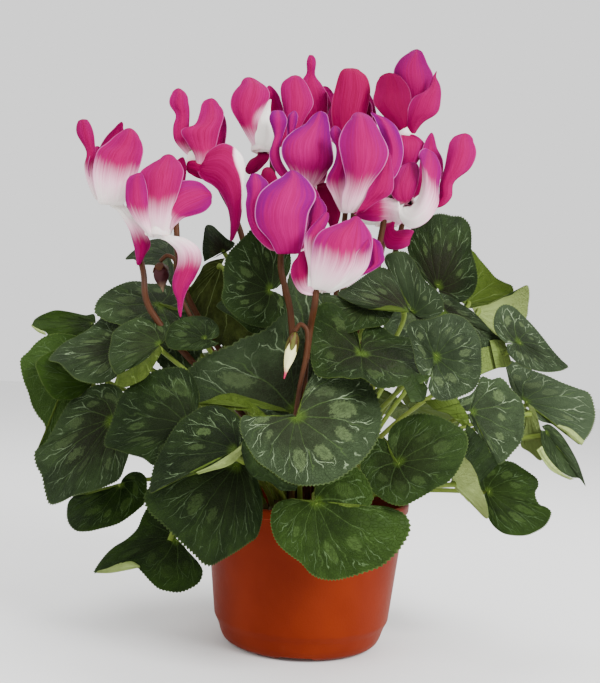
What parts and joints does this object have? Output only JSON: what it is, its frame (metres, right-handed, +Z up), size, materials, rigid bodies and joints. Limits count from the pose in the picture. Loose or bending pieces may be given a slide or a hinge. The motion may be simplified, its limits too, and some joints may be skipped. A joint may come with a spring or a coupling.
{
  "type": "potted cyclamen",
  "caption": "Flowering cyclamen in a round nursery pot: heart-shaped marbled leaves on long petioles and swept-back petals on bare hooked stalks, all from one tuber.",
  "frame": {"origin": "middle of the pot's underside, on the surface it stands on", "axes": "+Z up along the pot's axis, -Y towards the viewer, +X to the viewer's right"},
  "size_m": [0.3412, 0.2401, 0.3616],
  "materials": {
    "pot": "satin terracotta-coloured moulded plastic",
    "soil": "dark, damp, crumbly potting soil",
    "tuber": "rough corky brown skin",
    "leaf": "dark green with silver-green veins and marbling, satin",
    "stalk": "fleshy brown-red, slightly downy",
    "petal": "soft magenta-pink petal, white towards its base",
    "bud": "smooth creamy white, pink at its tip"
  },
  "bodies": {
    "root": {"pot": "pot", "soil": "soil", "tuber": "tuber", "leaf_shoot_front": "leaf", "leaf_shoot_front_inner": "leaf", "leaf_shoot_front_low": "leaf", "leaf_shoot_front_right": "leaf", "leaf_shoot_right_top": "leaf", "leaf_shoot_right_mid": "leaf", "leaf_shoot_right_front": "leaf", "leaf_shoot_right_low": "leaf", "leaf_shoot_right": "leaf", "leaf_shoot_right_inner": "leaf", "leaf_shoot_right_outer": "leaf", "leaf_shoot_right_back": "leaf", "leaf_shoot_back_right": "leaf", "leaf_shoot_left_top": "leaf", "leaf_shoot_left_front": "leaf", "leaf_shoot_left_mid": "leaf", "leaf_shoot_left_low": "leaf", "leaf_shoot_left_inner": "leaf", "leaf_shoot_left": "leaf", "leaf_shoot_left_outer": "leaf", "leaf_shoot_left_back": "leaf", "leaf_shoot_back_left": "leaf", "leaf_shoot_back_left_top": "leaf", "leaf_shoot_back_1": "leaf", "leaf_shoot_back_2": "leaf", "leaf_shoot_back_3": "leaf", "leaf_shoot_back_4": "leaf", "bloom_far_left_stalk": "stalk", "bloom_far_left_petals": "petal", "bloom_left_stalk": "stalk", "bloom_left_petals": "petal", "bloom_left_back_stalk": "stalk", "bloom_left_back_petals": "petal", "bloom_top_left_stalk": "stalk", "bloom_top_left_petals": "petal", "bloom_back_middle_stalk": "stalk", "bloom_back_middle_petals": "petal", "bloom_back_right_stalk": "stalk", "bloom_back_right_petals": "petal", "bloom_top_right_stalk": "stalk", "bloom_top_right_petals": "petal", "bloom_middle_stalk": "stalk", "bloom_middle_petals": "petal", "bloom_right_middle_stalk": "stalk", "bloom_right_middle_petals": "petal", "bloom_front_left_stalk": "stalk", "bloom_front_left_petals": "petal", "bloom_front_stalk": "stalk", "bloom_front_petals": "petal", "bloom_right_stalk": "stalk", "bloom_right_petals": "petal", "bloom_right_back_stalk": "stalk", "bloom_right_back_petals": "petal", "bud_front_stalk": "stalk", "bud_front": "bud", "bud_left_stalk": "stalk", "bud_left": "bud"}
  },
  "joints": []
}
